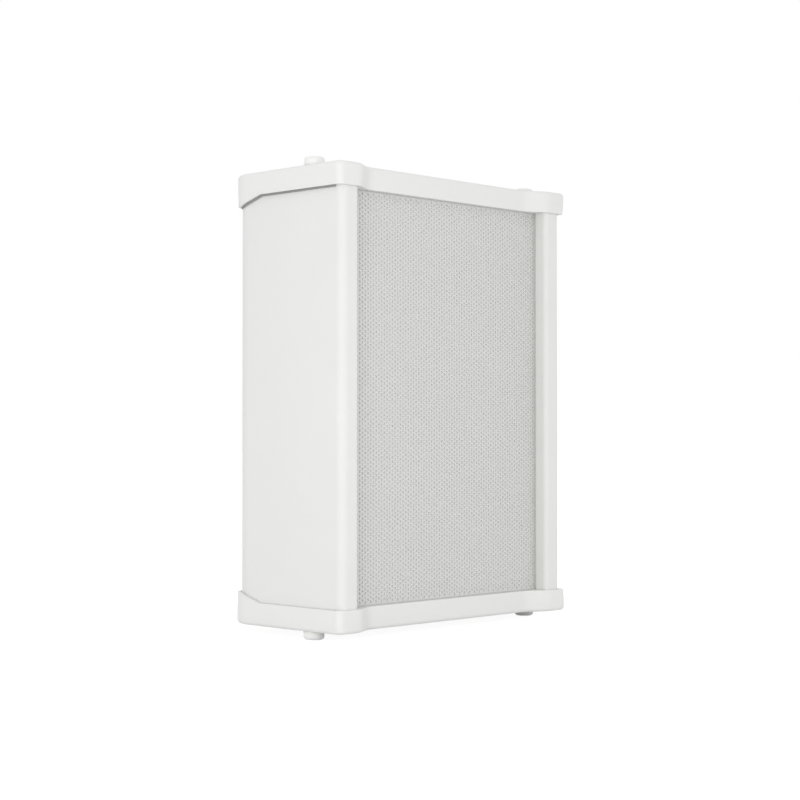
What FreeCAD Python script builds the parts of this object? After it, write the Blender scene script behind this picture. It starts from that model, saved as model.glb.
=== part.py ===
import FreeCAD, Part
import math
import os

# Short column loudspeaker: an extruded body with two front rails, closed by two moulded end caps.
# X is to the right, Y to the back and Z up. The origin is under the middle of the case, at the
# level of the lower screw heads that it stands on. All sizes are in millimetres.

V = FreeCAD.Vector

# Case
case_height = 215.0            # over both end caps
body_width = 157.0
body_depth = 76.0
body_wall = 2.0
front_corner_r = 4.0
back_corner_r = 12.0
rail_width = 11.2
rail_depth = 8.4               # from the rails' front to the grille
rail_edge_r = 2.5
rail_foot_r = 0.6              # hollow corner where a rail's inner wall meets the plane of the grille

# End caps
cap_height = 10.8
cap_plate = 3.0
cap_side_overhang = 3.0
cap_front_overhang = 1.6
cap_back_overhang = 1.8
cap_flare = 0.5                # how much narrower the cap is at its seam
cap_belly = 6.6                # height above the seam where the cap is widest
cap_edge_r = 1.8
cap_corner_r = 3.4
cap_back_corner_r = 15.0
lobe_width = 14.2              # front of the lobe in front of each rail
lobe_edge_r = 9.0
flank_run = 11.0               # width of the slope from a lobe to the recess
flank_r = 12.0
recess_proud = 3.6             # the cap's recess stands this far in front of the grille
recess_flare = 0.2
skirt_drop = 4.2               # extra depth of the cap's skirt at the back
skirt_start = 54.0             # where the skirt starts to deepen, from the rails' front
skirt_slope = 14.0
cap_fit = 0.3                  # clearance between a cap and the body
cap_side_gap = 1.3             # between the rim of a cap and the body's sides or the grille
rim_seal_thickness = 1.0
rim_seal_wrap = 6.0            # how far the seals reach round the body's back corners
top_seal_lip = 0.8             # how far the seal under the upper rim hangs out of its gap
bottom_seal_lip = 0.3
front_seal_lip = 0.4           # the same for the seals in front of the grille
flat_tolerance = 0.001         # for finding the edges of a flat face

# Seals, front panel and its channel
gasket_thickness = 1.5
gasket_width = 13.0
grille_thickness = 0.6
grille_strip_thickness = 1.5   # foam between a rail's inner wall and the grille
grille_strip_setback = 0.7
cloth_thickness = 0.5
baffle_thickness = 7.0
strip_thickness = 1.0
strip_width = 4.0
panel_side_gap = 0.8
panel_end_gap = 0.5

# Screw ports of the body, and the cap screws
port_r = 4.2
port_hole_r = 1.8
port_inset = 3.2               # from the body's side to the centre of a front port
back_port_spacing = 100.0
cap_screw_r = 1.7
cap_screw_length = 16.0
cap_screw_hole_r = 2.3
head_r = 4.8
head_height = 3.2
head_edge_r = 1.4
cross_width = 1.0
cross_length = 5.0
cross_depth = 1.6
washer_r = 5.0
washer_thickness = 0.8

# Driver, along its own axis from the front of its flange to the back
basket_side_gap = 10.7         # between the flange and the side of the front panel
basket_sheet = 1.2
basket_flange = 13.0           # width of the flange round the mouth
basket_taper = 20.0            # how much narrower the waist is than the mouth
basket_waist = 20.0            # depth of the ledge that carries the spider
basket_ledge = 4.0             # width of the ledge
basket_depth = 30.0
basket_hole_r = 16.0
window_angle = 56.0
window_count = 4
window_margin = 3.5
driver_gasket_thickness = 2.0
driver_gasket_gap = 0.5
surround_roll_r = 5.0
surround_sheet = 0.8
surround_lip = 5.5
cone_lip = 3.6
cone_sheet = 1.0
cone_depth = 17.0
coil_r = 13.0                  # outside of the coil former
former_wall = 0.35
former_front = 15.5
former_length = 22.0
winding_wall = 0.6
winding_length = 7.0
magnet_gap = 0.4               # between the moving coil and the iron on each side
plate_r = 36.0
plate_thickness = 5.0
magnet_r = 38.0
magnet_hole_r = 20.0
yoke_thickness = 4.0
driver_back_gap = 4.7          # between the yoke and the back wall
dust_cap_r = 16.5
dust_cap_rise = 5.0
dust_cap_sheet = 0.6
glue_gap = 0.1
spider_sheet = 0.7
spider_lip = 3.0
spider_waves = 4
spider_wave_height = 1.2
baffle_margin = 1.0            # between the surround's roll and the edge of the baffle's hole

# Small wood screws that hold things to the baffle
small_screw_r = 1.7
small_screw_bite = 5.5
small_screw_play = 0.1
small_head_r = 3.4
small_head_height = 2.2
small_hole_play = 0.4

# Line transformer
core_leg = 7.0
core_clearance = 0.2
coil_overhang = 7.0
strap_sheet = 1.2
strap_foot = 10.0
transformer_x = 22.0
transformer_gap = 3.0          # between the baffle's lower end and the coil
transformer_lead_run = 8.6     # height between the coil and the ends of the wires on the tags

# Terminal block
block_side_gap = 13.2          # between the block and the side of the front panel
block_pitch = 9.0
block_poles = 3
block_height = 14.0
block_depth = 15.0
block_tab = 7.0
block_tab_thickness = 3.0
block_wire_hole_r = 1.8
clamp_r = 2.3
clamp_length = 6.0
clamp_sink = 1.0
clamp_slot = 0.8

# Driver terminals and internal wires
tag_plate_width = 16.0
tag_plate_height = 9.0
tag_plate_thickness = 1.5
tag_spacing = 8.0
tag_width = 2.8
tag_length = 9.0
tag_sheet = 0.6
wire_r = 1.0
wire_arc_share = 0.45

# Back of the case
bracket_spacing = 120.0
nut_bore_r = 2.5
nut_body_r = 4.4
nut_fit = 0.1
nut_flange_r = 6.5
nut_flange = 0.8
nut_bulge_r = 5.6
nut_bulge = 3.0
nut_length = 11.0
grommet_x = 30.0
grommet_height = 38.0          # above the lower seam
grommet_neck_r = 6.0
grommet_flange_r = 8.0
grommet_flange = 1.4
grommet_inner_flange = 2.0
grommet_cup_r = 3.5
grommet_membrane = 1.0
pad_width = 80.0
pad_thickness = 15.0
pad_gap = 0.3

# Places that follow from the sizes above
half_width = body_width / 2
rail_front = cap_front_overhang - (cap_front_overhang + body_depth + cap_back_overhang) / 2
body_back = rail_front + body_depth
back_inside = body_back - body_wall
grille_front = rail_front + rail_depth
cloth_front = grille_front + grille_thickness
baffle_front = cloth_front + cloth_thickness
baffle_back = baffle_front + baffle_thickness
port_front = baffle_back + strip_thickness
foot_height = head_height + washer_thickness
case_top = foot_height + case_height
middle = foot_height + case_height / 2
lower_seam = foot_height + cap_height
body_bottom = foot_height + cap_plate + gasket_thickness
body_top = case_top - cap_plate - gasket_thickness
panel_bottom = body_bottom + panel_end_gap
panel_top = body_top - panel_end_gap
panel_half_width = half_width - body_wall - panel_side_gap
screw_places = [
    (-half_width + port_inset, port_front + port_r),
    (half_width - port_inset, port_front + port_r),
    (-back_port_spacing / 2, body_back - port_r),
    (back_port_spacing / 2, body_back - port_r),
]
flange_front = baffle_back + driver_gasket_thickness
basket_r = panel_half_width - basket_side_gap
basket_mouth_r = basket_r - basket_flange
basket_waist_r = basket_mouth_r - basket_taper
basket_cup_r = basket_waist_r - basket_ledge
magnet_front = basket_depth + plate_thickness
magnet_thickness = back_inside - driver_back_gap - yoke_thickness - flange_front - magnet_front
roll_r = basket_mouth_r - surround_roll_r
cone_rim_r = roll_r - surround_roll_r + surround_sheet
cone_edge_r = cone_rim_r - cone_lip
cone_slope = cone_depth / (cone_edge_r - coil_r)
plate_middle = basket_depth + plate_thickness / 2
screw_circle_r = (basket_mouth_r + surround_lip + driver_gasket_gap + basket_r) / 2
core_width = 6 * core_leg
core_height = 5 * core_leg
tag_reach = basket_r - tag_plate_height / 2
tag_z = middle - math.sqrt(tag_reach**2 - transformer_x**2)
lead_end_z = tag_z - tag_plate_height / 2
coil_top = lead_end_z - transformer_lead_run
coil_bottom = panel_bottom + transformer_gap
transformer_z = (coil_bottom + coil_top) / 2
core_stack = coil_top - coil_bottom - 2 * coil_overhang
block_width = block_pitch * block_poles
block_x = block_side_gap + block_tab + block_width / 2 - panel_half_width


def box(x, y, z):
    """Box between the two limits given for each axis."""
    size = [limits[1] - limits[0] for limits in (x, y, z)]
    return Part.makeBox(*size, V(x[0], y[0], z[0]))


def mirrored_pair(shape):
    """The shape and its mirror image on the other side of the case."""
    return [shape, shape.mirror(V(0, 0, 0), V(1, 0, 0))]


def at_the_top(shape):
    """The same piece at the other end of the case."""
    return shape.mirror(V(0, 0, middle), V(0, 0, 1))


def upright(x, y, r, z0, z1):
    """Round rod or hole along Z."""
    return Part.makeCylinder(r, z1 - z0, V(x, y, z0))


def endways(x, z, r, y0, y1):
    """Round rod or hole along Y."""
    return Part.makeCylinder(r, y1 - y0, V(x, y0, z), V(0, 1, 0))


def turned(profile, x, y, z, angle=360):
    """Solid turned about an axis along Y from (radius, depth) points, with depth counted from y."""
    points = [V(r, depth, 0) for r, depth in profile]
    face = Part.Face(Part.makePolygon(points + points[:1]))
    solid = face.revolve(V(0, 0, 0), V(0, 1, 0), angle)
    solid.translate(V(x, y, z))
    return solid


def rounded_wire(corners, z):
    """Closed wire at height z through (x, y, radius) corners, each rounded by an arc."""
    arcs = []
    for i, (x, y, r) in enumerate(corners):
        here = V(x, y, z)
        to_last = (V(*corners[i - 1][:2], z) - here).normalize()
        to_next = (V(*corners[(i + 1) % len(corners)][:2], z) - here).normalize()
        half = to_last.getAngle(to_next) / 2
        centre = here + (to_last + to_next).normalize() * (r / math.sin(half))
        crown = centre + (here - centre).normalize() * r
        reach = r / math.tan(half)
        arcs.append((here + to_last * reach, crown, here + to_next * reach))
    edges = []
    for arc, following in zip(arcs, arcs[1:] + arcs[:1]):
        edges.append(Part.Arc(*arc).toShape())
        edges.append(Part.LineSegment(arc[2], following[0]).toShape())
    return Part.Wire(edges)


def inset_corners(corners, insets):
    """Corners of an outline after each of its sides has moved inwards by its own inset."""
    moved = []
    for i, (x, y, r) in enumerate(corners):
        last = V(*corners[i - 1][:2], 0)
        here = V(x, y, 0)
        following = V(*corners[(i + 1) % len(corners)][:2], 0)
        along_last = (here - last).normalize()
        along_next = (following - here).normalize()
        in_last = V(-along_last.y, along_last.x, 0)
        in_next = V(-along_next.y, along_next.x, 0)
        lean = in_last.dot(in_next)
        first, second = insets[i - 1], insets[i]
        shift = (in_last * (first - second * lean) + in_next * (second - first * lean)) / (1 - lean**2)
        bulge = 1 if along_last.cross(along_next).z > 0 else -1
        inset = max(first, second, key=abs)
        moved.append((x + shift.x, y + shift.y, r - bulge * inset))
    return moved


def prism(corners, z0, z1):
    """Upright solid between two heights on a rounded outline."""
    return Part.Face(rounded_wire(corners, z0)).extrude(V(0, 0, z1 - z0))


def body_corners():
    """Outline of the body and of the grille between its rails."""
    inner = half_width - rail_width
    return [
        (-half_width, rail_front, front_corner_r),
        (-inner, rail_front, rail_edge_r),
        (-inner, grille_front, rail_foot_r),
        (inner, grille_front, rail_foot_r),
        (inner, rail_front, rail_edge_r),
        (half_width, rail_front, front_corner_r),
        (half_width, body_back, back_corner_r),
        (-half_width, body_back, back_corner_r),
    ]


def cap_corners():
    """Widest outline of an end cap, with a lobe in front of each rail."""
    side = half_width + cap_side_overhang
    front = rail_front - cap_front_overhang
    recess = grille_front - recess_proud
    back = body_back + cap_back_overhang
    lobe = side - lobe_width
    foot = lobe - flank_run
    return [
        (-side, front, cap_corner_r),
        (-lobe, front, lobe_edge_r),
        (-foot, recess, flank_r),
        (foot, recess, flank_r),
        (lobe, front, lobe_edge_r),
        (side, front, cap_corner_r),
        (side, back, cap_back_corner_r),
        (-side, back, cap_back_corner_r),
    ]


def cap_section(rise, flare):
    """Outline of the lower cap at a rise from its seam, with a share of the cap's flare."""
    side = flare * cap_flare
    insets = [side, side, flare * recess_flare, side, side, side, 0, side]
    return rounded_wire(inset_corners(cap_corners(), insets), lower_seam - rise)


def make_housing():
    height = (body_bottom, body_top)
    outer = prism(body_corners(), *height)
    body = outer.cut(prism(inset_corners(body_corners(), [body_wall] * 8), *height))
    side = half_width - body_wall
    rail_back = grille_front - grille_strip_thickness
    body = body.cut(box((-side, side), (rail_back, grille_front + body_wall), height))
    front_x, front_y = screw_places[1]
    rib = box((front_x - port_r, side), (port_front, front_y), height)
    body = body.fuse(mirrored_pair(rib))
    for x, y in screw_places:
        body = body.fuse(upright(x, y, port_r, *height).common(outer))
    for x, y in screw_places:
        body = body.cut(upright(x, y, port_hole_r, *height))
    for z in bracket_heights():
        body = body.cut(endways(0, z, nut_body_r + nut_fit, back_inside, body_back))
    body = body.cut(endways(grommet_x, grommet_z(), grommet_neck_r + nut_fit, back_inside, body_back))
    return body.removeSplitter()


def above_seam(lift):
    """Space above the edge of the lower cap, which is higher at the back, raised by a lift."""
    side = half_width + cap_side_overhang
    ahead = rail_front - cap_front_overhang
    slope_start = rail_front + skirt_start
    low = lower_seam + lift
    high = low + skirt_drop
    slope = [(ahead, low), (slope_start, low), (slope_start + skirt_slope, high), (ahead, high)]
    points = [V(-side, y, z) for y, z in slope]
    return Part.Face(Part.makePolygon(points + points[:1])).extrude(V(2 * side, 0, 0))


def before_grille(thickness, z0, z1):
    """Space in front of the grille, between the rails."""
    inner = half_width - rail_width - rail_foot_r
    return box((-inner, inner), (grille_front - thickness, grille_front), (z0, z1))


def make_bottom_cap():
    steps = [i / 3 for i in range(4)]
    sections = [cap_section(cap_belly * step, (1 - step) ** 2) for step in steps]
    flare = Part.makeLoft(sections, True, False)
    crown = prism(cap_corners(), foot_height, lower_seam - cap_belly)
    rim = [edge for edge in crown.Edges if edge.BoundBox.ZMax < foot_height + flat_tolerance]
    shell = crown.makeFillet(cap_edge_r, rim).fuse(flare)
    skirt_top = lower_seam + skirt_drop
    skirt = Part.Face(cap_section(0, 1)).extrude(V(0, 0, skirt_drop)).cut(above_seam(0))
    room = [-cap_fit] * 5 + [-cap_side_gap, -cap_fit, -cap_side_gap]
    pocket = prism(inset_corners(body_corners(), room), foot_height + cap_plate, skirt_top)
    front_gap = before_grille(cap_side_gap, foot_height + cap_plate, lower_seam)
    cap = shell.fuse(skirt).cut(pocket).cut(front_gap)
    for x, y in screw_places:
        cap = cap.cut(upright(x, y, cap_screw_hole_r, foot_height, lower_seam))
    return cap.removeSplitter()


def make_rim_seal(lip):
    """Rubber strip between the rim of the lower cap and the body's right side."""
    height = (body_bottom, lower_seam + skirt_drop + lip)
    wider = inset_corners(body_corners(), [0, 0, 0, 0, 0, -rim_seal_thickness, 0, 0])
    band = prism(wider, *height).cut(prism(body_corners(), *height))
    width = (half_width - rim_seal_wrap, half_width + rim_seal_thickness)
    strip = band.common(box(width, (rail_front + front_corner_r, body_back), height))
    return strip.cut(above_seam(lip))


def make_front_seal():
    """Rubber strip between the rim of the lower cap and the grille."""
    return before_grille(rim_seal_thickness, body_bottom, lower_seam + front_seal_lip)


def make_bottom_gasket():
    top = foot_height + cap_plate + gasket_thickness
    outline = inset_corners(body_corners(), [cap_fit] * 8)
    ring = prism(outline, foot_height + cap_plate, top)
    inner = inset_corners([outline[i] for i in (0, 5, 6, 7)], [gasket_width] * 4)
    opening = [(x, max(y, grille_front + gasket_width), abs(r)) for x, y, r in inner]
    ring = ring.cut(prism(opening, foot_height + cap_plate, top))
    for x, y in screw_places:
        ring = ring.cut(upright(x, y, cap_screw_hole_r, foot_height, top))
    return ring


def make_cap_screw(x, y):
    head = upright(x, y, head_r, 0, head_height)
    rim = [edge for edge in head.Edges if edge.BoundBox.ZMax < head_height / 2]
    head = head.makeFillet(head_edge_r, rim)
    shank = upright(x, y, cap_screw_r, head_height, head_height + cap_screw_length)
    half = cross_width / 2
    arm = cross_length / 2
    cross = box((x - half, x + half), (y - arm, y + arm), (0, cross_depth))
    cross = cross.fuse(box((x - arm, x + arm), (y - half, y + half), (0, cross_depth)))
    return head.fuse(shank).cut(cross)


def make_cap_washer(x, y):
    rim = upright(x, y, washer_r, head_height, foot_height)
    return rim.cut(upright(x, y, cap_screw_r + small_screw_play, head_height, foot_height))


def panel(front, thickness):
    """Flat panel across the channel behind the rails."""
    width = (-panel_half_width, panel_half_width)
    return box(width, (front, front + thickness), (panel_bottom, panel_top))


def small_screw_places():
    """Where small screws enter the baffle: (x, z, thickness of what they hold)."""
    places = []
    for i in range(window_count):
        turn = math.radians(360 * (i + 0.5) / window_count)
        held = basket_sheet + driver_gasket_thickness
        places.append((screw_circle_r * math.sin(turn), middle + screw_circle_r * math.cos(turn), held))
    return places


def transformer_screw_places():
    reach = core_width / 2 + core_clearance + strap_sheet + strap_foot / 2
    return [(transformer_x + side * reach, transformer_z, strap_sheet) for side in (-1, 1)]


def block_screw_places():
    reach = (block_width + block_tab) / 2
    return [(block_x + side * reach, transformer_z, block_tab_thickness) for side in (-1, 1)]


def make_small_screw(x, z, held):
    shank = endways(x, z, small_screw_r, baffle_back - small_screw_bite, baffle_back + held)
    head_back = baffle_back + held + small_head_height
    head = endways(x, z, small_head_r, baffle_back + held, head_back)
    rim = [edge for edge in head.Edges if edge.BoundBox.YMin > baffle_back + held + small_head_height / 2]
    head = head.makeFillet(small_head_height / 2, rim)
    half = cross_width / 2
    width = (x - small_head_r, x + small_head_r)
    slot = box(width, (head_back - cross_width, head_back), (z - half, z + half))
    return head.cut(slot).fuse(shank)


def make_baffle():
    board = panel(baffle_front, baffle_thickness)
    opening_r = basket_mouth_r + baffle_margin
    board = board.cut(endways(0, middle, opening_r, baffle_front, baffle_back))
    for x, z, held in small_screw_places() + transformer_screw_places() + block_screw_places():
        pilot_r = small_screw_r + small_screw_play
        board = board.cut(endways(x, z, pilot_r, baffle_back - small_screw_bite, baffle_back))
    return board


def make_grille_strip():
    inner = half_width - rail_width + grille_strip_setback
    depth = (grille_front - grille_strip_thickness, grille_front)
    return box((inner, panel_half_width), depth, (panel_bottom, panel_top))


def make_baffle_strip():
    side = panel_half_width
    return box((side - strip_width, side), (baffle_back, port_front), (panel_bottom, panel_top))


def driver_turned(profile, angle=360):
    """Solid turned about the driver's axis, with depth counted from the front of its flange."""
    return turned(profile, 0, flange_front, middle, angle)


def driver_ring(inner_r, outer_r, front, back):
    return driver_turned([(inner_r, front), (outer_r, front), (outer_r, back), (inner_r, back)])


def make_driver_gasket():
    inner_r = basket_mouth_r + surround_lip + driver_gasket_gap
    ring = driver_ring(inner_r, basket_r, -driver_gasket_thickness, 0)
    return with_screw_holes(ring)


def with_screw_holes(shape):
    """The shape with a hole for each of the driver's screws."""
    for x, z, held in small_screw_places():
        hole_r = small_screw_r + small_hole_play
        shape = shape.cut(endways(x, z, hole_r, baffle_back, baffle_back + held))
    return shape


def make_driver_basket():
    sheet = basket_sheet
    profile = [
        (basket_r, 0), (basket_r, sheet), (basket_mouth_r, sheet),
        (basket_waist_r, basket_waist + sheet), (basket_cup_r, basket_waist + sheet),
        (basket_cup_r, basket_depth), (basket_hole_r, basket_depth),
        (basket_hole_r, basket_depth - sheet), (basket_cup_r - sheet, basket_depth - sheet),
        (basket_cup_r - sheet, basket_waist), (basket_waist_r, basket_waist), (basket_mouth_r, 0),
    ]
    basket = driver_turned(profile)
    window = driver_turned([(basket_waist_r, window_margin), (basket_mouth_r, window_margin),
                            (basket_mouth_r, basket_waist - window_margin),
                            (basket_waist_r, basket_waist - window_margin)], window_angle)
    for i in range(window_count):
        turn = 360 * i / window_count - window_angle / 2
        place = window.copy()
        place.rotate(V(0, flange_front, middle), V(0, 1, 0), turn)
        basket = basket.cut(place)
    return with_screw_holes(basket)


def make_surround():
    """Half roll with a flat lip on the flange and another on the edge of the cone."""
    outer = surround_roll_r
    inner = surround_roll_r - surround_sheet
    edges = [
        Part.Arc(V(roll_r + outer, 0, 0), V(roll_r, -outer, 0), V(roll_r - outer, 0, 0)).toShape(),
        Part.LineSegment(V(roll_r - outer, 0, 0), V(roll_r - inner, 0, 0)).toShape(),
        Part.Arc(V(roll_r - inner, 0, 0), V(roll_r, -inner, 0), V(roll_r + inner, 0, 0)).toShape(),
        Part.LineSegment(V(roll_r + inner, 0, 0), V(roll_r + outer, 0, 0)).toShape(),
    ]
    roll = Part.Face(Part.Wire(edges)).revolve(V(0, 0, 0), V(0, 1, 0), 360)
    roll.translate(V(0, flange_front, middle))
    outer_lip = driver_ring(roll_r + inner, basket_mouth_r + surround_lip, -surround_sheet, 0)
    inner_lip = driver_ring(cone_edge_r, roll_r - inner, -surround_sheet, 0)
    return roll.fuse([outer_lip, inner_lip]).removeSplitter()


def make_cone():
    return driver_turned([
        (cone_rim_r, 0), (cone_edge_r, 0), (coil_r + glue_gap, cone_depth),
        (coil_r + glue_gap, cone_depth + cone_sheet), (cone_edge_r, cone_sheet), (cone_rim_r, cone_sheet),
    ])


def make_dust_cap():
    """Shallow dome glued to the front of the cone."""
    rim = (cone_edge_r - dust_cap_r) * cone_slope - dust_cap_sheet * (1 + cone_slope)
    crown = rim - dust_cap_rise
    dome_r = (dust_cap_r**2 + dust_cap_rise**2) / (2 * dust_cap_rise)
    tilt = math.asin(dust_cap_r / dome_r) / 2
    half = (dome_r * math.sin(tilt), crown + dome_r * (1 - math.cos(tilt)))
    back = dust_cap_sheet
    half_inside = V(half[0], half[1] + back, 0)
    edges = [
        Part.Arc(V(0, crown, 0), V(*half, 0), V(dust_cap_r, rim, 0)).toShape(),
        Part.LineSegment(V(dust_cap_r, rim, 0), V(dust_cap_r, rim + back, 0)).toShape(),
        Part.Arc(V(dust_cap_r, rim + back, 0), half_inside, V(0, crown + back, 0)).toShape(),
        Part.LineSegment(V(0, crown + back, 0), V(0, crown, 0)).toShape(),
    ]
    dome = Part.Face(Part.Wire(edges)).revolve(V(0, 0, 0), V(0, 1, 0), 360)
    dome.translate(V(0, flange_front, middle))
    return dome


def make_spider():
    """Corrugated disc between the coil former and the basket's ledge."""
    lip_r = basket_cup_r - basket_sheet
    inner_r = coil_r + glue_gap
    back = basket_waist
    front = back - spider_sheet
    steps = 2 * spider_waves
    crest = []
    for i in range(steps + 1):
        r = lip_r - (lip_r - inner_r) * i / steps
        crest.append((r, -spider_wave_height * (i % 2)))
    profile = [(lip_r + spider_lip, back), (lip_r + spider_lip, front)]
    profile += [(r, front + rise) for r, rise in crest]
    profile += [(r, back + rise) for r, rise in reversed(crest)]
    return driver_turned(profile)


def make_yoke():
    back = magnet_front + magnet_thickness
    pole_r = coil_r - former_wall - magnet_gap
    return driver_turned([
        (0, basket_depth), (pole_r, basket_depth), (pole_r, back), (plate_r, back),
        (plate_r, back + yoke_thickness), (0, back + yoke_thickness),
    ])


def make_tag_strip():
    """Strip on the driver's flange, above the transformer."""
    front = flange_front + basket_sheet
    half = tag_plate_width / 2
    width = (transformer_x - half, transformer_x + half)
    return box(width, (front, front + tag_plate_thickness), (lead_end_z, lead_end_z + tag_plate_height))


def make_tags():
    front = flange_front + basket_sheet + tag_plate_thickness
    blade = box((-tag_width / 2, tag_width / 2), (front, front + tag_sheet), (tag_z - tag_length, tag_z))
    tags = []
    for side in (-1, 1):
        tag = blade.copy()
        tag.translate(V(transformer_x + side * tag_spacing / 2, 0, 0))
        tags.append(tag)
    return tags


def make_transformer_core():
    """Stack of laminations with two windows beside a middle leg."""
    half = core_width / 2
    stack = (transformer_z - core_stack / 2, transformer_z + core_stack / 2)
    core = box((transformer_x - half, transformer_x + half), (baffle_back, baffle_back + core_height), stack)
    window_y = (baffle_back + core_leg, baffle_back + core_height - core_leg)
    for side in (-1, 1):
        centre = transformer_x + side * 1.5 * core_leg
        core = core.cut(box((centre - core_leg / 2, centre + core_leg / 2), window_y, stack))
    return core


def make_transformer_coil():
    outer = 2 * core_leg - core_clearance
    inner = core_leg + core_clearance
    depth = (baffle_back + core_leg + core_clearance, baffle_back + core_height - core_leg - core_clearance)
    stack = core_stack / 2 + core_clearance
    coil = box((transformer_x - outer, transformer_x + outer), depth, (coil_bottom, coil_top))
    length = depth[1] - depth[0]
    corners = [edge for edge in coil.Edges if edge.BoundBox.YLength > length - core_clearance]
    coil = coil.makeFillet(coil_overhang / 2, corners)
    width = (transformer_x - inner, transformer_x + inner)
    leg = box(width, depth, (transformer_z - stack, transformer_z + stack))
    return coil.cut(leg)


def make_transformer_strap():
    """Steel strap over the core, with a foot on each side."""
    inner = core_width / 2 + core_clearance
    outer = inner + strap_sheet
    foot = outer + strap_foot
    roof = baffle_back + core_height + core_clearance
    stack = (transformer_z - core_stack / 2, transformer_z + core_stack / 2)
    strap = box((transformer_x - outer, transformer_x + outer), (baffle_back, roof + strap_sheet), stack)
    feet = box((transformer_x - foot, transformer_x + foot), (baffle_back, baffle_back + strap_sheet), stack)
    space = box((transformer_x - inner, transformer_x + inner), (baffle_back, roof), stack)
    strap = strap.fuse(feet).cut(space)
    for x, z, held in transformer_screw_places():
        strap = strap.cut(endways(x, z, small_screw_r + small_hole_play, baffle_back, baffle_back + held))
    return strap.removeSplitter()


def pole_places():
    return [block_x + block_pitch * (i - (block_poles - 1) / 2) for i in range(block_poles)]


def make_terminal_block():
    half = block_width / 2
    tall = (transformer_z - block_height / 2, transformer_z + block_height / 2)
    back = baffle_back + block_depth
    block = box((block_x - half, block_x + half), (baffle_back, back), tall)
    reach = half + block_tab
    tabs = box((block_x - reach, block_x + reach), (baffle_back, baffle_back + block_tab_thickness), tall)
    block = block.fuse(tabs)
    for x in pole_places():
        well = clamp_length + clamp_sink
        block = block.cut(endways(x, transformer_z, clamp_r + small_screw_play, back - well, back))
        block = block.cut(upright(x, wire_hole_y(), block_wire_hole_r, *tall))
    for x, z, held in block_screw_places():
        block = block.cut(endways(x, z, small_screw_r + small_hole_play, baffle_back, baffle_back + held))
    return block.removeSplitter()


def wire_hole_y():
    """Depth of the wire holes, just in front of the clamp screws."""
    return baffle_back + block_depth - clamp_length - clamp_sink - block_wire_hole_r


def make_terminal_clamps():
    clamps = []
    head = baffle_back + block_depth - clamp_sink
    for x in pole_places():
        clamp = endways(x, transformer_z, clamp_r, head - clamp_length, head)
        half = clamp_slot / 2
        height = (transformer_z - half, transformer_z + half)
        slot = box((x - clamp_r, x + clamp_r), (head - clamp_slot, head), height)
        clamps.append(clamp.cut(slot))
    return clamps


def wire(points):
    """Insulated wire of straight runs joined by tangent arcs, as wide as the runs allow."""
    edges = []
    start = points[0]
    for i in range(1, len(points) - 1):
        here = points[i]
        back = points[i - 1] - here
        onward = points[i + 1] - here
        reach = wire_arc_share * min(back.Length, onward.Length)
        back.normalize()
        onward.normalize()
        half = back.getAngle(onward) / 2
        radius = reach * math.tan(half)
        bisector = (back + onward).normalize()
        crown = here + bisector * (radius / math.sin(half) - radius)
        edges.append(Part.LineSegment(start, here + back * reach).toShape())
        edges.append(Part.Arc(here + back * reach, crown, here + onward * reach).toShape())
        start = here + onward * reach
    edges.append(Part.LineSegment(start, points[-1]).toShape())
    heading = points[1] - points[0]
    section = Part.Wire(Part.makeCircle(wire_r, points[0], heading))
    return Part.Wire(edges).makePipeShell([section], True, False)


def make_line_leads():
    """Two wires from the terminal block up and over to the coil of the transformer."""
    y = wire_hole_y()
    coil_y = baffle_back + core_height / 2
    leads = []
    for i, pole in enumerate(pole_places()[1:]):
        rise = coil_top + 4 * wire_r * (2 - i)
        end = transformer_x - 2 * core_leg + 3 * wire_r * (1 + i)
        leads.append(wire([
            V(pole, y, transformer_z + block_height / 2),
            V(pole, y, rise + wire_r),
            V((2 * pole + end) / 3, (2 * y + coil_y) / 3, rise + 6 * wire_r),
            V((pole + 2 * end) / 3, (y + 2 * coil_y) / 3, rise + 6 * wire_r),
            V(end, coil_y, rise + wire_r),
            V(end, coil_y, coil_top),
        ]))
    return leads


def make_driver_leads():
    """Two wires from the coil of the transformer up to the driver's tags."""
    tag_y = flange_front + basket_sheet + tag_plate_thickness + tag_sheet + wire_r
    coil_y = baffle_back + core_height - core_leg - core_clearance - 3 * wire_r
    rise = transformer_lead_run / 3
    leads = []
    for side in (-1, 1):
        tag_x = transformer_x + side * tag_spacing / 2
        leads.append(wire([
            V(tag_x, coil_y, coil_top),
            V(tag_x, coil_y, coil_top + rise),
            V(tag_x, tag_y, lead_end_z - rise),
            V(tag_x, tag_y, lead_end_z),
        ]))
    return leads


def bracket_heights():
    return [middle - bracket_spacing / 2, middle + bracket_spacing / 2]


def make_bracket_nut(z):
    """Threaded insert with a flange outside the back wall and a crimped bulge inside it."""
    inside = -body_wall
    return turned([
        (nut_bore_r, nut_flange), (nut_flange_r, nut_flange), (nut_flange_r, 0), (nut_body_r, 0),
        (nut_body_r, inside), (nut_bulge_r, inside), (nut_bulge_r, inside - nut_bulge),
        (nut_body_r, inside - nut_bulge), (nut_body_r, inside - nut_length),
        (nut_bore_r, inside - nut_length),
    ], 0, body_back, z)


def grommet_z():
    return lower_seam + grommet_height


def make_cable_grommet():
    """Rubber grommet in the back wall, closed by a membrane that a cable pierces."""
    inside = -body_wall
    end = inside - grommet_inner_flange
    skin = grommet_flange - grommet_membrane
    return turned([
        (0, skin), (grommet_cup_r, skin), (grommet_cup_r, grommet_flange), (grommet_flange_r, grommet_flange),
        (grommet_flange_r, 0), (grommet_neck_r, 0), (grommet_neck_r, inside), (grommet_flange_r, inside),
        (grommet_flange_r, end), (grommet_cup_r, end), (grommet_cup_r, skin - grommet_membrane),
        (0, skin - grommet_membrane),
    ], grommet_x, body_back, grommet_z())


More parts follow.
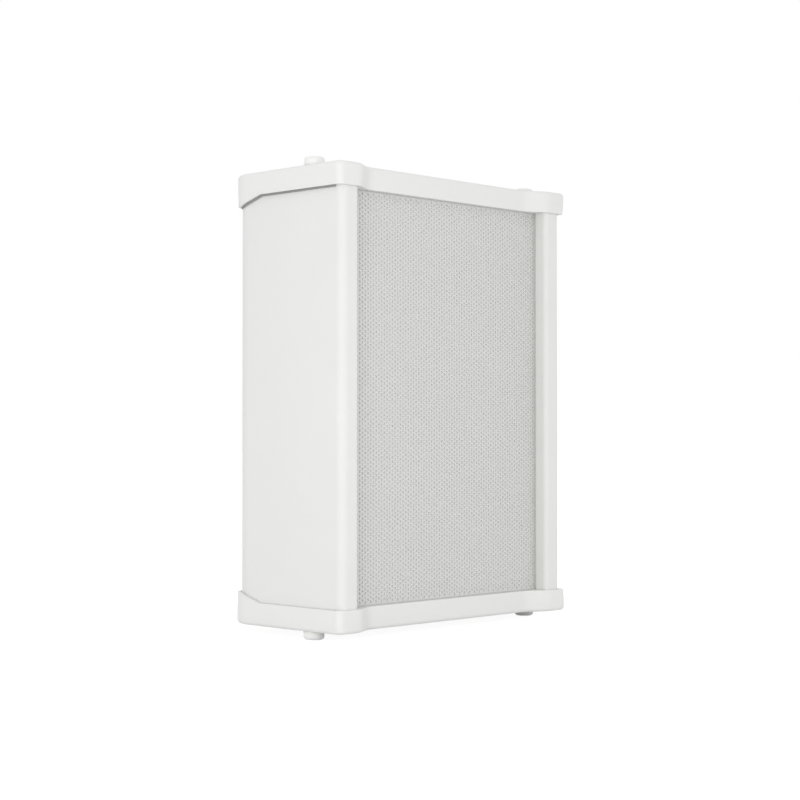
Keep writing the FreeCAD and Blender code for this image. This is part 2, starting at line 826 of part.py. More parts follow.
def make_damping_pad():
    bottom = middle + bracket_spacing / 2 + nut_flange_r + pad_gap
    half = pad_width / 2
    back = back_inside - pad_gap
    return box((-half, half), (back - pad_thickness, back), (bottom, panel_top))


def group(solids):
    return Part.makeCompound(solids)


def build():
    bottom_screws = group([make_cap_screw(x, y) for x, y in screw_places])
    bottom_washers = group([make_cap_washer(x, y) for x, y in screw_places])
    bottom_cap = make_bottom_cap()
    bottom_gasket = make_bottom_gasket()
    bottom_seal = make_front_seal()
    winding_front = plate_middle - winding_length / 2
    winding_r = coil_r + winding_wall
    return {
        "housing": make_housing(),
        "bottom_cap": bottom_cap,
        "top_cap": at_the_top(bottom_cap),
        "bottom_gasket": bottom_gasket,
        "top_gasket": at_the_top(bottom_gasket),
        "bottom_rim_seals": group(mirrored_pair(make_rim_seal(bottom_seal_lip))),
        "top_rim_seals": at_the_top(group(mirrored_pair(make_rim_seal(top_seal_lip)))),
        "front_seals": group([bottom_seal, at_the_top(bottom_seal)]),
        "bottom_cap_screws": bottom_screws,
        "top_cap_screws": at_the_top(bottom_screws),
        "bottom_cap_washers": bottom_washers,
        "top_cap_washers": at_the_top(bottom_washers),
        "grille": panel(grille_front, grille_thickness),
        "grille_cloth": panel(cloth_front, cloth_thickness),
        "grille_strips": group(mirrored_pair(make_grille_strip())),
        "baffle": make_baffle(),
        "baffle_strips": group(mirrored_pair(make_baffle_strip())),
        "driver_gasket": make_driver_gasket(),
        "driver_basket": make_driver_basket(),
        "driver_screws": group([make_small_screw(*place) for place in small_screw_places()]),
        "top_plate": driver_ring(winding_r + magnet_gap, plate_r, basket_depth, magnet_front),
        "magnet": driver_ring(magnet_hole_r, magnet_r, magnet_front, magnet_front + magnet_thickness),
        "yoke": make_yoke(),
        "coil_former": driver_ring(coil_r - former_wall, coil_r, former_front, former_front + former_length),
        "coil_winding": driver_ring(coil_r, winding_r, winding_front, winding_front + winding_length),
        "spider": make_spider(),
        "cone": make_cone(),
        "dust_cap": make_dust_cap(),
        "surround": make_surround(),
        "tag_strip": make_tag_strip(),
        "tags": group(make_tags()),
        "transformer_core": make_transformer_core(),
        "transformer_coil": make_transformer_coil(),
        "transformer_strap": make_transformer_strap(),
        "transformer_screws": group([make_small_screw(*place) for place in transformer_screw_places()]),
        "terminal_block": make_terminal_block(),
        "terminal_clamps": group(make_terminal_clamps()),
        "terminal_screws": group([make_small_screw(*place) for place in block_screw_places()]),
        "line_leads": group(make_line_leads()),
        "driver_leads": group(make_driver_leads()),
        "bracket_nuts": group([make_bracket_nut(z) for z in bracket_heights()]),
        "cable_grommet": make_cable_grommet(),
        "damping_pad": make_damping_pad(),
    }


os.makedirs("parts", exist_ok=True)
for name, shape in build().items():
    shape.exportStep(f"parts/{name}.step")
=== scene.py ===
import math

import bmesh
import bpy
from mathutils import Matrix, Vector


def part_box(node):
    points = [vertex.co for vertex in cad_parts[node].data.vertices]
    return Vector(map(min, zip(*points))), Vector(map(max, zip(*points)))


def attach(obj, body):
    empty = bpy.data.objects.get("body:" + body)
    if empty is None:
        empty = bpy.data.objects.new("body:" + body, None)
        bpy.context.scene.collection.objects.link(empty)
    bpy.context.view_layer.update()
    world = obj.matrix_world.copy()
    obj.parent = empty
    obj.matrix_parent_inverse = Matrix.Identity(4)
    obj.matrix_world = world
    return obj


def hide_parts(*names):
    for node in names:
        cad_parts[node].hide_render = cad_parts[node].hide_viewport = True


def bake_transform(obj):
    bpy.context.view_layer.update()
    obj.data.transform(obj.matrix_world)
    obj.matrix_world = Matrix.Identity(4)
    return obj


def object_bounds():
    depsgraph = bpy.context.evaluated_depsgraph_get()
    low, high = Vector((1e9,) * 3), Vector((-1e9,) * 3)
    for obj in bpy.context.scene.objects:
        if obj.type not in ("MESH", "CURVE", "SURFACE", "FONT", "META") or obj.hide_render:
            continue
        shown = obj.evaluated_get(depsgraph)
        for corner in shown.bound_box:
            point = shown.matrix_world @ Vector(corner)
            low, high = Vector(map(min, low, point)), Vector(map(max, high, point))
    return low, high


# Looks of a short column loudspeaker: white coated case and end caps, and a perforated steel
# grille over white cloth. Sizes are in metres in the CAD model's own frame: X to the right,
# Y to the back, Z up.

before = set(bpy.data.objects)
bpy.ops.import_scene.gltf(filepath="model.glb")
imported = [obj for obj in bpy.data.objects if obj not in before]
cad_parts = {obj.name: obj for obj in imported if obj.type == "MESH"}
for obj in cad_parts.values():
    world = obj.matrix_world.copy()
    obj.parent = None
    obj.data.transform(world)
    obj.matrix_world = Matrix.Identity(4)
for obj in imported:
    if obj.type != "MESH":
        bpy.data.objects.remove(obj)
cad_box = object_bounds()
bpy.ops.object.select_all(action="DESELECT")

mm = 0.001

# Grille sheet
hole_pitch = 2.1 * mm            # between the centres of neighbouring holes
hole_corners = 6
hole_r = 0.78 * mm               # to the corners of a hole, which is as open as a 1.4 mm round one
hole_columns = 74
hole_rows = 91

# Grille cloth
cloth_columns = 15
cloth_rows = 21

# Damping pad
pad_cuts = 12
pad_shrink = 0.92                # room for the pad's swelling
pad_swell = 1.6 * mm
pad_lump = 12 * mm               # width of a lump
pad_still_level = 0.6            # level of the lumps' pattern that neither swells nor sinks

# Surround and spider of the driver, by radius from its axis
sector_count = 16                # pieces in a ring
sector_steps = 5
roll_middle_r = 47.0 * mm        # to the middle of the surround's roll
roll_r = 4.2 * mm                # of the roll's own half circle
roll_steps = 12
surround_inner_r = 39.2 * mm
surround_sheet = 0.8 * mm
spider_wave_r = 26.8 * mm        # where the spider's waves start, inside its flat lip
spider_inner_r = 13.1 * mm
spider_waves = 4
spider_wave_height = 1.2 * mm
spider_sheet = 0.7 * mm
crease_angle = math.radians(40)  # folds sharper than this stay sharp

# Patterns of the materials
coat_patch = 40 * mm             # width of the lighter and darker patches in a coat
peel_depth = 0.05 * mm
flow_patch = 60 * mm             # width of the lighter and darker patches in moulded plastic
spark_depth = 0.03 * mm
streak_shape = (1.0, 1.0, 0.15)  # streaks are drawn out along Z
weave_depth = 0.1 * mm
wave_repeat = math.pi / 10       # length after which a wave texture of scale 1 repeats

# Camera, light and floor
picture_size = 800               # pixels
focal_pixels = 1770.3
sensor_width = 36.0
camera_place = Vector((-0.6374, -0.6125, 0.0956))
camera_heading = Vector((0.7204, 0.6935, 0.0181))
room_light = 0.85                # strength of the even light from all round
floor_size = 12.0
floor_glow = 0.93                # the rest of the way to white is left to the floor's own shade


def linear(hex_colour):
    """Linear colour of an sRGB hex value."""
    channels = [int(hex_colour[i:i + 2], 16) / 255 for i in (1, 3, 5)]
    return [c / 12.92 if c <= 0.04045 else ((c + 0.055) / 1.055) ** 2.4 for c in channels] + [1.0]


def add_node(material, kind, inputs=None, **settings):
    """Adds a node with its settings; an input is a value, or another node's output to link."""
    tree = material.node_tree
    node = tree.nodes.new(kind)
    for name, value in settings.items():
        setattr(node, name, value)
    for socket, value in (inputs or {}).items():
        if isinstance(value, bpy.types.NodeSocket):
            tree.links.new(value, node.inputs[socket])
        else:
            node.inputs[socket].default_value = value
    return node


def new_material(name):
    """An empty material, its surface shader and the place on the piece in metres."""
    material = bpy.data.materials.new(name)
    material.use_nodes = True
    material.node_tree.nodes.clear()
    shader = add_node(material, "ShaderNodeBsdfPrincipled")
    add_node(material, "ShaderNodeOutputMaterial", {"Surface": shader.outputs["BSDF"]})
    place = add_node(material, "ShaderNodeTexCoord").outputs["Object"]
    return material, shader, place


def link(material, output, shader, socket):
    """Joins a node's output to a socket of the shader."""
    material.node_tree.links.new(output, shader.inputs[socket])


def two_tone(material, shader, amount, light, dark):
    """Colours the surface between two tones by the amount."""
    # A mix node's colours are its inputs 6 and 7, and its output 2.
    mix = add_node(material, "ShaderNodeMix",
                   {"Factor": amount, 6: linear(dark), 7: linear(light)}, data_type="RGBA")
    link(material, mix.outputs[2], shader, "Base Color")


def coated_metal(name, light, dark, peel, roughness):
    """Coated metal: a satin skin with a soft orange peel and a barely uneven tone."""
    material, shader, place = new_material(name)
    cloud = add_node(material, "ShaderNodeTexNoise",
                     {"Vector": place, "Scale": 1 / coat_patch, "Detail": 3.0})
    two_tone(material, shader, cloud.outputs["Fac"], light, dark)
    skin = add_node(material, "ShaderNodeTexNoise",
                    {"Vector": place, "Scale": 1 / peel, "Detail": 2.0})
    gloss = add_node(material, "ShaderNodeMapRange",
                     {"Value": skin.outputs["Fac"],
                      "To Min": roughness - 0.06, "To Max": roughness + 0.06})
    link(material, gloss.outputs["Result"], shader, "Roughness")
    bump = add_node(material, "ShaderNodeBump",
                    {"Height": skin.outputs["Fac"], "Strength": 0.12, "Distance": peel_depth})
    link(material, bump.outputs["Normal"], shader, "Normal")
    return material


def moulded_plastic(name, light, dark, grain, roughness):
    """Injection-moulded plastic: an even satin face with the fine spark grain of its mould."""
    material, shader, place = new_material(name)
    flow = add_node(material, "ShaderNodeTexNoise",
                    {"Vector": place, "Scale": 1 / flow_patch, "Detail": 2.0})
    two_tone(material, shader, flow.outputs["Fac"], light, dark)
    pits = add_node(material, "ShaderNodeTexVoronoi", {"Vector": place, "Scale": 1 / grain})
    gloss = add_node(material, "ShaderNodeMapRange",
                     {"Value": pits.outputs["Distance"],
                      "To Min": roughness - 0.05, "To Max": roughness + 0.08})
    link(material, gloss.outputs["Result"], shader, "Roughness")
    bump = add_node(material, "ShaderNodeBump",
                    {"Height": pits.outputs["Distance"], "Strength": 0.1, "Distance": spark_depth})
    link(material, bump.outputs["Normal"], shader, "Normal")
    return material


def plain_metal(name, light, dark, streak, roughness):
    """Bare or plated metal: bright, with fine streaks from drawing or turning."""
    material, shader, place = new_material(name)
    shader.inputs["Metallic"].default_value = 1.0
    stretch = add_node(material, "ShaderNodeMapping", {"Vector": place, "Scale": streak_shape})
    streaks = add_node(material, "ShaderNodeTexNoise",
                       {"Vector": stretch.outputs["Vector"], "Scale": 1 / streak, "Detail": 4.0})
    two_tone(material, shader, streaks.outputs["Fac"], light, dark)
    gloss = add_node(material, "ShaderNodeMapRange",
                     {"Value": streaks.outputs["Fac"],
                      "To Min": roughness - 0.08, "To Max": roughness + 0.1})
    link(material, gloss.outputs["Result"], shader, "Roughness")
    return material


def matt_stuff(name, light, dark, grain, roughness, depth):
    """Matt, grainy stuff such as rubber, foam, paper, board or ferrite."""
    material, shader, place = new_material(name)
    shader.inputs["Roughness"].default_value = roughness
    grains = add_node(material, "ShaderNodeTexNoise",
                      {"Vector": place, "Scale": 1 / grain, "Detail": 5.0})
    two_tone(material, shader, grains.outputs["Fac"], light, dark)
    bump = add_node(material, "ShaderNodeBump",
                    {"Height": grains.outputs["Fac"], "Strength": 0.4, "Distance": depth})
    link(material, bump.outputs["Normal"], shader, "Normal")
    return material


def ribbed_stuff(name, light, dark, spacing, axis, roughness, depth, metallic=0.0):
    """Stuff in fine even layers: wound wire, wound tape or stacked sheets."""
    material, shader, place = new_material(name)
    shader.inputs["Roughness"].default_value = roughness
    shader.inputs["Metallic"].default_value = metallic
    ribs = add_node(material, "ShaderNodeTexWave",
                    {"Vector": place, "Scale": wave_repeat / spacing, "Distortion": 0.0},
                    wave_type="BANDS", bands_direction=axis)
    two_tone(material, shader, ribs.outputs["Fac"], light, dark)
    bump = add_node(material, "ShaderNodeBump",
                    {"Height": ribs.outputs["Fac"], "Strength": 0.5, "Distance": depth})
    link(material, bump.outputs["Normal"], shader, "Normal")
    return material


def woven_cloth(name, light, dark, thread, across, along, roughness):
    """Plain-woven cloth: two sets of threads that go over and under each other."""
    material, shader, place = new_material(name)
    shader.inputs["Roughness"].default_value = roughness
    shader.inputs["Sheen Weight"].default_value = 0.2
    threads = []
    for axis in (across, along):
        wave = add_node(material, "ShaderNodeTexWave",
                        {"Vector": place, "Scale": wave_repeat / thread,
                         "Distortion": 0.3, "Detail": 1.0},
                        wave_type="BANDS", bands_direction=axis)
        threads.append(wave.outputs["Fac"])
    weave = add_node(material, "ShaderNodeMath", {0: threads[0], 1: threads[1]},
                     operation="MULTIPLY")
    two_tone(material, shader, weave.outputs["Value"], light, dark)
    bump = add_node(material, "ShaderNodeBump",
                    {"Height": weave.outputs["Value"], "Strength": 0.5, "Distance": weave_depth})
    link(material, bump.outputs["Normal"], shader, "Normal")
    return material


def select(piece, kind, chosen):
    """In edit mode, selects only the vertices, edges or faces that the test accepts."""
    bpy.ops.mesh.select_all(action="DESELECT")
    bpy.ops.mesh.select_mode(type=kind)
    mesh = bmesh.from_edit_mesh(piece.data)
    parts = {"VERT": mesh.verts, "EDGE": mesh.edges, "FACE": mesh.faces}[kind]
    for part in parts:
        corners = [part.co] if kind == "VERT" else [vertex.co for vertex in part.verts]
        part.select_set(chosen(sum(corners, Vector()) / len(corners), part))
    mesh.select_flush_mode()
    bmesh.update_edit_mesh(piece.data)


def named(name):
    """The piece just added, with its place moved into its mesh."""
    piece = bpy.context.active_object
    piece.name = name
    piece.data.name = name
    bpy.ops.object.transform_apply(location=True, rotation=True, scale=True)
    return piece


def apply_modifier(piece, kind, **settings):
    """Finishes the active piece with a modifier."""
    modifier = piece.modifiers.new(kind.lower(), kind)
    for name, value in settings.items():
        setattr(modifier, name, value)
    bpy.ops.object.modifier_apply(modifier=modifier.name)


def in_sheet(degrees):
    """Direction in the plane of the grille, turned from the right towards the top."""
    return Vector((math.cos(math.radians(degrees)), 0, math.sin(math.radians(degrees))))


def make_grille_sheet():
    """Perforated steel sheet: one hole and the steel beside it, repeated, with a plain margin."""
    low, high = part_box("grille")
    column_step = hole_pitch * math.sqrt(3) / 2
    field_width = (hole_columns - 1) * column_step
    field_height = (hole_rows - 0.5) * hole_pitch
    middle = (low + high) / 2
    first = Vector((middle.x - field_width / 2, low.y, middle.z - field_height / 2))
    last = Vector((middle.x + field_width / 2, low.y, middle.z + field_height / 2))
    # The tile is the hole before the first one, because a ring of blind holes becomes the margin.
    start = first - Vector((2 * column_step, 0, hole_pitch))
    bpy.ops.mesh.primitive_circle_add(vertices=hole_corners, radius=hole_r, fill_type="NGON",
                                      location=start, rotation=(math.pi / 2, math.pi / 6, 0))
    sheet = named("grille_sheet")
    slack = hole_r / 10
    bpy.ops.object.mode_set(mode="EDIT")
    # Steel from three sides of the hole to its neighbours.
    bridge = hole_pitch - math.sqrt(3) * hole_r
    for turn in (30, 90, -30):
        towards = in_sheet(turn)
        side = start + towards * (math.sqrt(3) / 2 * hole_r)
        select(sheet, "EDGE", lambda spot, edge: (spot - side).length < slack)
        bpy.ops.mesh.extrude_edges_move(TRANSFORM_OT_translate={"value": towards * bridge})
    # Steel between three neighbouring holes.
    corner = hole_pitch / math.sqrt(3)
    for turn in (0, 60):
        heart = start + in_sheet(turn) * corner
        select(sheet, "VERT", lambda spot, vertex: (spot - heart).length < corner - hole_r / 2)
        bpy.ops.mesh.edge_face_add()
    bpy.ops.object.mode_set(mode="OBJECT")
    steps = [
        (2, (column_step, 0, hole_pitch / 2)),
        (hole_rows + 2, (0, 0, hole_pitch)),
        (hole_columns // 2 + 2, (2 * column_step, 0, 0)),
    ]
    for count, step in steps:
        apply_modifier(sheet, "ARRAY", count=count, use_relative_offset=False,
                       use_constant_offset=True, constant_offset_displace=step,
                       use_merge_vertices=True, merge_threshold=hole_r / 50)
    bpy.ops.object.mode_set(mode="EDIT")
    # Trim the ring of blind holes to straight sides, then draw the margin out to the sheet's edges.
    near = first - Vector((column_step, 0, hole_pitch))
    far = last + Vector((column_step, 0, hole_pitch))
    trims = [(near, (-1, 0, 0)), (far, (1, 0, 0)), (near, (0, 0, -1)), (far, (0, 0, 1))]
    for spot, way in trims:
        bpy.ops.mesh.select_all(action="SELECT")
        bpy.ops.mesh.bisect(plane_co=spot, plane_no=way, clear_outer=True)
    margins = [
        (lambda spot, edge: spot.x < near.x + slack, (low.x - near.x, 0, 0)),
        (lambda spot, edge: spot.x > far.x - slack, (high.x - far.x, 0, 0)),
        (lambda spot, edge: spot.z < near.z + slack, (0, 0, low.z - near.z)),
        (lambda spot, edge: spot.z > far.z - slack, (0, 0, high.z - far.z)),
    ]
    for on_the_side, way in margins:
        select(sheet, "EDGE", on_the_side)
        bpy.ops.mesh.extrude_edges_move(TRANSFORM_OT_translate={"value": way})
    # Open the holes.
    select(sheet, "FACE", lambda spot, face: len(face.verts) == hole_corners
           and first.x - slack < spot.x < last.x + slack
           and first.z - slack < spot.z < last.z + slack)
    bpy.ops.mesh.delete(type="ONLY_FACE")
    bpy.ops.mesh.select_all(action="SELECT")
    bpy.ops.mesh.normals_make_consistent(inside=False)
    bpy.ops.object.mode_set(mode="OBJECT")
    if sheet.data.polygons[0].normal.y > 0:
        sheet.data.flip_normals()
    apply_modifier(sheet, "SOLIDIFY", thickness=high.y - low.y, offset=-1.0)
    return sheet


def make_cloth():
    """Thin cloth stretched flat behind the grille."""
    low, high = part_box("grille_cloth")
    middle = (low + high) / 2
    size = high - low
    bpy.ops.mesh.primitive_grid_add(x_subdivisions=cloth_columns, y_subdivisions=cloth_rows,
                                    size=1.0, location=(middle.x, low.y, middle.z),
                                    rotation=(math.pi / 2, 0, 0))
    bpy.context.active_object.scale = (size.x, size.z, 1.0)
    cloth_piece = named("stretched_cloth")
    apply_modifier(cloth_piece, "SOLIDIFY", thickness=size.y, offset=-1.0)
    return cloth_piece


def make_pad():
    """Soft wadding pad at the top of the back wall."""
    low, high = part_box("damping_pad")
    bpy.ops.mesh.primitive_cube_add(size=1.0, location=(low + high) / 2)
    bpy.context.active_object.scale = (high - low) * pad_shrink
    pad = named("wadding_pad")
    bpy.ops.object.mode_set(mode="EDIT")
    bpy.ops.mesh.subdivide(number_cuts=pad_cuts, smoothness=0.0)
    bpy.ops.object.mode_set(mode="OBJECT")
    lumps = bpy.data.textures.new("wadding_lumps", "CLOUDS")
    lumps.noise_scale = pad_lump
    apply_modifier(pad, "DISPLACE", texture=lumps, texture_coords="GLOBAL", strength=pad_swell,
                   mid_level=pad_still_level)
    apply_modifier(pad, "SUBSURF", levels=1, render_levels=1)
    bpy.ops.object.shade_smooth()
    return pad


def draw_line(points):
    """Open line through (radius, depth) points, as a piece in edit mode."""
    spots = [Vector((radius, depth, 0)) for radius, depth in points]
    bpy.ops.mesh.primitive_plane_add(size=mm, location=spots[0])
    line = named("section")
    bpy.ops.object.mode_set(mode="EDIT")
    bpy.ops.mesh.select_mode(type="VERT")
    bpy.ops.mesh.select_all(action="SELECT")
    bpy.ops.mesh.merge(type="CENTER")
    for last, spot in zip(spots, spots[1:]):
        bpy.ops.mesh.extrude_vertices_move(TRANSFORM_OT_translate={"value": spot - last})
    return line


def make_sectors(node, points, sheet):
    """Ring of flexible sheet in place of a node, made of sectors spun round the node's axis."""
    low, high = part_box(node)
    axis = Vector(((low.x + high.x) / 2, 0, (low.z + high.z) / 2))
    step = 2 * math.pi / sector_count
    section = draw_line(points)
    bpy.ops.mesh.select_all(action="SELECT")
    bpy.ops.mesh.spin(steps=sector_steps, angle=step, center=(0, 0, 0), axis=(0, 1, 0))
    bpy.ops.mesh.select_all(action="SELECT")
    bpy.ops.mesh.normals_make_consistent(inside=False)
    bpy.ops.object.mode_set(mode="OBJECT")
    apply_modifier(section, "SOLIDIFY", thickness=sheet, offset=0.0)
    bpy.ops.object.shade_smooth_by_angle(angle=crease_angle)
    sectors = []
    for i in range(sector_count):
        bpy.ops.object.select_all(action="DESELECT")
        section.select_set(True)
        bpy.context.view_layer.objects.active = section
        bpy.ops.object.duplicate()
        bpy.context.active_object.rotation_euler = (0, step * i, 0)
        bpy.context.active_object.location = axis
        sector = named(f"{node}_sector_{i + 1}")
        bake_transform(sector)
        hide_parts(node)
        sectors.append(sector)
    bpy.data.objects.remove(section)
    return sectors


def make_surround():
    """Rubber half roll between two flat lips."""
    low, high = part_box("surround")
    lip = high.y - surround_sheet / 2
    points = [((high.x - low.x) / 2, lip)]
    for i in range(roll_steps + 1):
        turn = math.pi * i / roll_steps
        points.append((roll_middle_r + roll_r * math.cos(turn), lip - roll_r * math.sin(turn)))
    points.append((surround_inner_r, lip))
    return make_sectors("surround", points, surround_sheet)


def make_spider():
    """Corrugated cloth disc round the coil former."""
    low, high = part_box("spider")
    trough = high.y - spider_sheet / 2
    points = [((high.x - low.x) / 2, trough)]
    for i in range(2 * spider_waves + 1):
        radius = spider_wave_r - (spider_wave_r - spider_inner_r) * i / (2 * spider_waves)
        points.append((radius, trough - spider_wave_height * (i % 2)))
    return make_sectors("spider", points, spider_sheet)


# Each material is given its lighter and darker tone, and the width of its pattern. The grain of
# moulds, rubber, paper and ferrite, the threads of cloth and the wire of the coil are finer on the
# real thing, and are drawn as coarse as they need to be to show.

# Powder coat: an even satin white, its shine broken up by a soft orange peel.
white_aluminium = coated_metal("powder_coated_aluminium", "#EBEBE9", "#E6E6E4",
                               peel=1.4 * mm, roughness=0.55)
# The same coat on thin sheet: satin, and a shade greyer.
white_steel = coated_metal("powder_coated_steel", "#DDDDDB", "#D8D8D6",
                           peel=1.2 * mm, roughness=0.55)
# Moulded ABS: a very even white with the quiet satin of a fine-grained mould.
white_caps = moulded_plastic("moulded_abs", "#EDEDEB", "#E9E9E7", grain=0.9 * mm, roughness=0.5)
# Enamel on screw heads: the brightest white here, with small clear highlights.
white_screws = coated_metal("enamelled_screw_steel", "#F3F3F1", "#EDEDEB",
                            peel=0.8 * mm, roughness=0.3)
# Moulded nylon: a warmer, slightly waxy white.
nylon = moulded_plastic("moulded_nylon", "#EFEEE8", "#E6E5DF", grain=0.8 * mm, roughness=0.4)
# Woven grille cloth: soft, matt and white, so the holes look pale.
cloth = woven_cloth("woven_grille_cloth", "#F2F2F0", "#E8E8E6",
                    thread=0.5 * mm, across="X", along="Z", roughness=0.9)
# Moulded rubber: a dull black with hardly any shine.
black_rubber = matt_stuff("moulded_rubber", "#2B2B2A", "#1C1C1B",
                          grain=0.8 * mm, roughness=0.75, depth=0.03 * mm)
# Extruded rubber in three greys, thin dull lines beside the white coat; the greys are painted
# shade.
# Top seals: the darkest grey, painted shadow under the top cap's overhang.
top_seal_rubber_deep_painted_shade = matt_stuff("top_seal_grey_deep_painted_shade", "#A0A09E", "#929290",
                         grain=0.8 * mm, roughness=0.75, depth=0.03 * mm)
# Front seals: a lighter grey, for the fainter painted shade under the caps' front edges.
front_seal_rubber_half_painted_shade = matt_stuff("front_seal_grey_half_painted_shade", "#D2D2D0", "#C6C6C4",
                          grain=0.8 * mm, roughness=0.75, depth=0.03 * mm)
# Bottom seals: the palest grey, the same rubber with little painted shade, where light falls from
# above.
bottom_seal_rubber_faint_painted_shade = matt_stuff("bottom_seal_grey_faint_painted_shade", "#E4E4E2", "#D8D8D6",
                         grain=0.8 * mm, roughness=0.75, depth=0.03 * mm)
# Zinc plate: a cool bright metal with faint streaks.
zinc = plain_metal("zinc_plated_steel", "#C9CBCE", "#A9ACB0", streak=0.6 * mm, roughness=0.35)
# Closed-cell foam: quite without shine, and rough with cells cut through.
foam = matt_stuff("black_foam", "#3C3C3B", "#1E1E1D",
                  grain=0.7 * mm, roughness=0.95, depth=0.2 * mm)
grey_foam = matt_stuff("grey_foam", "#DADAD8", "#C4C4C2",
                       grain=0.7 * mm, roughness=0.95, depth=0.2 * mm)
# Pressed fibre board: a flecked light brown, dry and matt.
board = matt_stuff("fibre_board", "#A98A63", "#86694A",
                   grain=1.2 * mm, roughness=0.8, depth=0.08 * mm)
# Black paint on pressed steel: smooth, with soft highlights along its bends.
basket_steel = coated_metal("black_pressed_steel", "#26272A", "#1B1C1E",
                            peel=1.0 * mm, roughness=0.4)
# Turned iron under yellowish plate: a warm grey metal with turning streaks.
iron = plain_metal("turned_motor_iron", "#B9B4A6", "#938E82", streak=0.5 * mm, roughness=0.4)
# Sintered ferrite: a stony dark grey, a little smoother than rubber.
ferrite = matt_stuff("sintered_ferrite", "#3A3B3D", "#2A2B2D",
                     grain=0.6 * mm, roughness=0.6, depth=0.03 * mm)
# Coil paper: a plain brown with short fibres.
brown_paper = matt_stuff("former_paper", "#B48A5A", "#94704A",
                         grain=0.5 * mm, roughness=0.7, depth=0.02 * mm)
# Enamelled copper, wound: shiny turns, and dark lines between them that are painted shade in the
# grooves.
copper = ribbed_stuff("wound_enamelled_copper", "#C9793F", "#8C4A22",
                      spacing=0.4 * mm, axis="Y", roughness=0.3, depth=0.1 * mm, metallic=1.0)
# Resin-stiffened cotton: a yellowish open weave.
spider_cloth = woven_cloth("woven_spider_cloth", "#D3A95C", "#A67E3C",
                           thread=0.6 * mm, across="X", along="Z", roughness=0.8)
# Pressed paper pulp: a matt, cloudy black.
cone_paper = matt_stuff("pressed_cone_paper", "#2F2F31", "#1E1E20",
                        grain=1.5 * mm, roughness=0.85, depth=0.06 * mm)
# Butyl rubber: a smooth, deep black with a broad soft sheen.
surround_rubber = matt_stuff("butyl_rubber", "#222223", "#171718",
                             grain=1.0 * mm, roughness=0.6, depth=0.02 * mm)
# Resin-bonded paper board: reddish brown and slightly shiny.
tag_board = matt_stuff("phenolic_board", "#8A5A34", "#6E4426",
                       grain=0.6 * mm, roughness=0.5, depth=0.02 * mm)
# Tinned brass: a warm silver.
tinned = plain_metal("tinned_brass", "#D6D5CF", "#B4B2AA", streak=0.4 * mm, roughness=0.3)
# Stacked steel sheets: fine grey layers of metal.
laminations = ribbed_stuff("stacked_laminations", "#8A8C90", "#54565A",
                           spacing=0.5 * mm, axis="Z", roughness=0.45, depth=0.1 * mm,
                           metallic=1.0)
# Winding tape: glossy yellow bands that overlap.
coil_tape = ribbed_stuff("wound_coil_tape", "#E0C65A", "#C4A840",
                         spacing=3.0 * mm, axis="Y", roughness=0.4, depth=0.05 * mm)
# Moulded polyamide: a greyish natural white.
block_plastic = moulded_plastic("moulded_polyamide", "#DAD8D0", "#CBC9C1",
                                grain=0.8 * mm, roughness=0.45)
# Wire insulation: smooth and even, with a dull shine.
grey_wire = matt_stuff("grey_wire_sleeve", "#8C8D90", "#7C7D80",
                       grain=2.0 * mm, roughness=0.45, depth=0.01 * mm)
red_wire = matt_stuff("red_wire_sleeve", "#B3322C", "#9C2822",
                      grain=2.0 * mm, roughness=0.45, depth=0.01 * mm)
# Polyester wadding: white, fluffy and shadowed between its fibres.
wadding = matt_stuff("polyester_wadding", "#EFEEEA", "#CFCEC9",
                     grain=1.5 * mm, roughness=1.0, depth=0.6 * mm)

node_finishes = {
    "housing": white_aluminium, "bottom_cap": white_caps, "top_cap": white_caps,
    "bottom_gasket": black_rubber, "top_gasket": black_rubber,
    # The three seal greys are one rubber with painted shade: darkest at the top, palest at the
    # bottom.
    "bottom_rim_seals": bottom_seal_rubber_faint_painted_shade, "top_rim_seals": top_seal_rubber_deep_painted_shade, "front_seals": front_seal_rubber_half_painted_shade,
    "bottom_cap_screws": white_screws, "top_cap_screws": white_screws,
    "bottom_cap_washers": nylon, "top_cap_washers": nylon,
    "grille": white_steel, "grille_cloth": cloth, "grille_strips": grey_foam,
    "baffle": board, "baffle_strips": foam,
    "driver_gasket": foam, "driver_basket": basket_steel, "driver_screws": zinc,
    "top_plate": iron, "magnet": ferrite, "yoke": iron,
    "coil_former": brown_paper, "coil_winding": copper, "spider": spider_cloth,
    "cone": cone_paper, "dust_cap": cone_paper, "surround": surround_rubber,
    "tag_strip": tag_board, "tags": tinned,
    "transformer_core": laminations, "transformer_coil": coil_tape,
    "transformer_strap": zinc, "transformer_screws": zinc,
    "terminal_block": block_plastic, "terminal_clamps": zinc, "terminal_screws": zinc,
    "line_leads": grey_wire, "driver_leads": red_wire,
    "bracket_nuts": zinc, "cable_grommet": black_rubber, "damping_pad": wadding,
}
for node_name, finish in node_finishes.items():
    node_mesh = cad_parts[node_name].data
    node_mesh.materials.clear()
    node_mesh.materials.append(finish)

grille_sheet = make_grille_sheet()
grille_sheet.data.materials.append(white_steel)
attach(grille_sheet, "cabinet")
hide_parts("grille")

stretched_cloth = make_cloth()
stretched_cloth.data.materials.append(cloth)
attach(stretched_cloth, "cabinet")
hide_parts("grille_cloth")

for sector in make_surround():
    sector.data.materials.append(surround_rubber)

for sector in make_spider():
    sector.data.materials.append(spider_cloth)

wadding_pad = make_pad()
wadding_pad.data.materials.append(wadding)
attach(wadding_pad, "cabinet")
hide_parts("damping_pad")


def white_to_the_eye(holder, plain, seen):
    """The plain shader where it lights the object, and the seen one to the eye and in mirrors."""
    path = add_node(holder, "ShaderNodeLightPath")
    looks = path.outputs["Is Camera Ray"]
    for kind in ("Is Glossy Ray", "Is Transmission Ray"):
        looks = add_node(holder, "ShaderNodeMath", {0: looks, 1: path.outputs[kind]},
                         operation="MAXIMUM").outputs["Value"]
    return add_node(holder, "ShaderNodeMixShader", {0: looks, 1: plain, 2: seen}).outputs["Shader"]


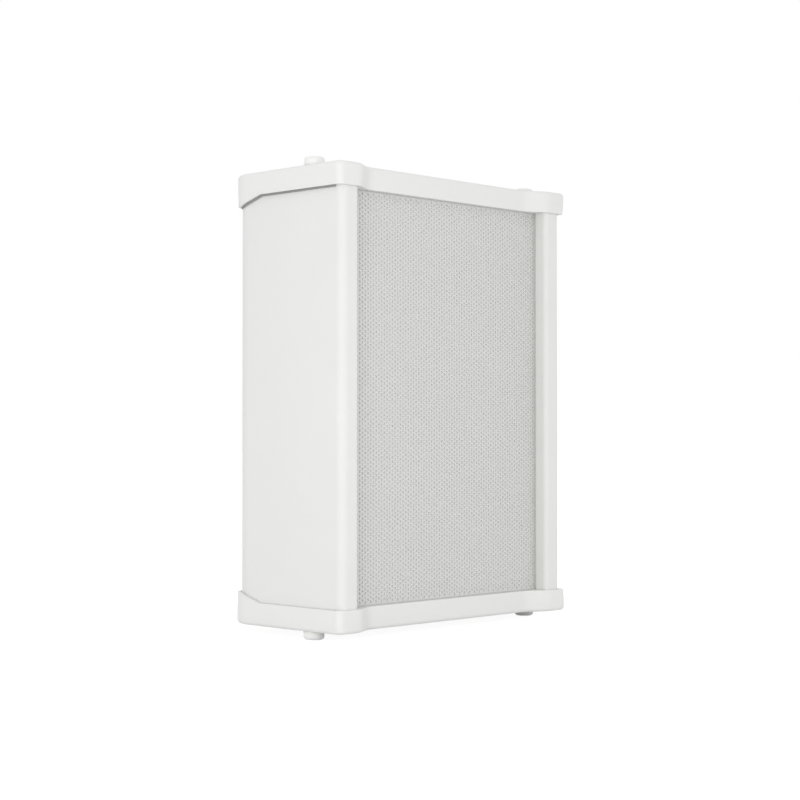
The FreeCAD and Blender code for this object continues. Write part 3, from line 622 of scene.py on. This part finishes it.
def make_world():
    """Even studio light from all round, white where it is looked at."""
    world = bpy.data.worlds.new("studio")
    bpy.context.scene.world = world
    world.use_nodes = True
    world.node_tree.nodes.clear()
    room = add_node(world, "ShaderNodeBackground",
                    {"Color": linear("#FFFFFF"), "Strength": room_light})
    wall = add_node(world, "ShaderNodeBackground", {"Color": linear("#FFFFFF"), "Strength": 1.0})
    both = white_to_the_eye(world, room.outputs["Background"], wall.outputs["Background"])
    add_node(world, "ShaderNodeOutputWorld", {"Surface": both})


def make_floor():
    """Pale floor that glows white to the eye, and keeps the object's shadow."""
    bpy.ops.mesh.primitive_plane_add(size=floor_size)
    floor = bpy.context.active_object
    floor.name = "floor"
    material = bpy.data.materials.new("pale_floor")
    material.use_nodes = True
    material.node_tree.nodes.clear()
    paint = add_node(material, "ShaderNodeBsdfDiffuse", {"Color": linear("#EFEFEF")})
    faint = add_node(material, "ShaderNodeBsdfDiffuse", {"Color": linear("#7C7C7C")})
    glow = add_node(material, "ShaderNodeEmission",
                    {"Color": linear("#FFFFFF"), "Strength": floor_glow})
    seen = add_node(material, "ShaderNodeAddShader",
                    {0: faint.outputs["BSDF"], 1: glow.outputs["Emission"]})
    both = white_to_the_eye(material, paint.outputs["BSDF"], seen.outputs["Shader"])
    add_node(material, "ShaderNodeOutputMaterial", {"Surface": both})
    floor.data.materials.append(material)


def add_softbox(name, place, size, power):
    """Square soft light that faces the middle of the object."""
    data = bpy.data.lights.new(name, "AREA")
    data.shape = "SQUARE"
    data.size = size
    data.energy = power
    lamp = bpy.data.objects.new(name, data)
    bpy.context.scene.collection.objects.link(lamp)
    lamp.location = place
    towards = (cad_box[0] + cad_box[1]) / 2 - Vector(place)
    lamp.rotation_mode = "QUATERNION"
    lamp.rotation_quaternion = towards.to_track_quat("-Z", "Y")


def make_camera():
    """Camera that looks at the left side and the front."""
    data = bpy.data.cameras.new("camera")
    data.sensor_width = sensor_width
    data.lens = focal_pixels * sensor_width / picture_size
    camera = bpy.data.objects.new("camera", data)
    bpy.context.scene.collection.objects.link(camera)
    camera.location = camera_place
    camera.rotation_mode = "QUATERNION"
    camera.rotation_quaternion = camera_heading.to_track_quat("-Z", "Y")
    bpy.context.scene.camera = camera


make_world()
make_floor()
add_softbox("key_light", place=(-0.6, -0.4, 0.14), size=0.3, power=1.0)
add_softbox("low_light", place=(0.0, -0.4, 0.03), size=0.2, power=0.11)
make_camera()
bpy.context.scene.view_settings.view_transform = "Standard"
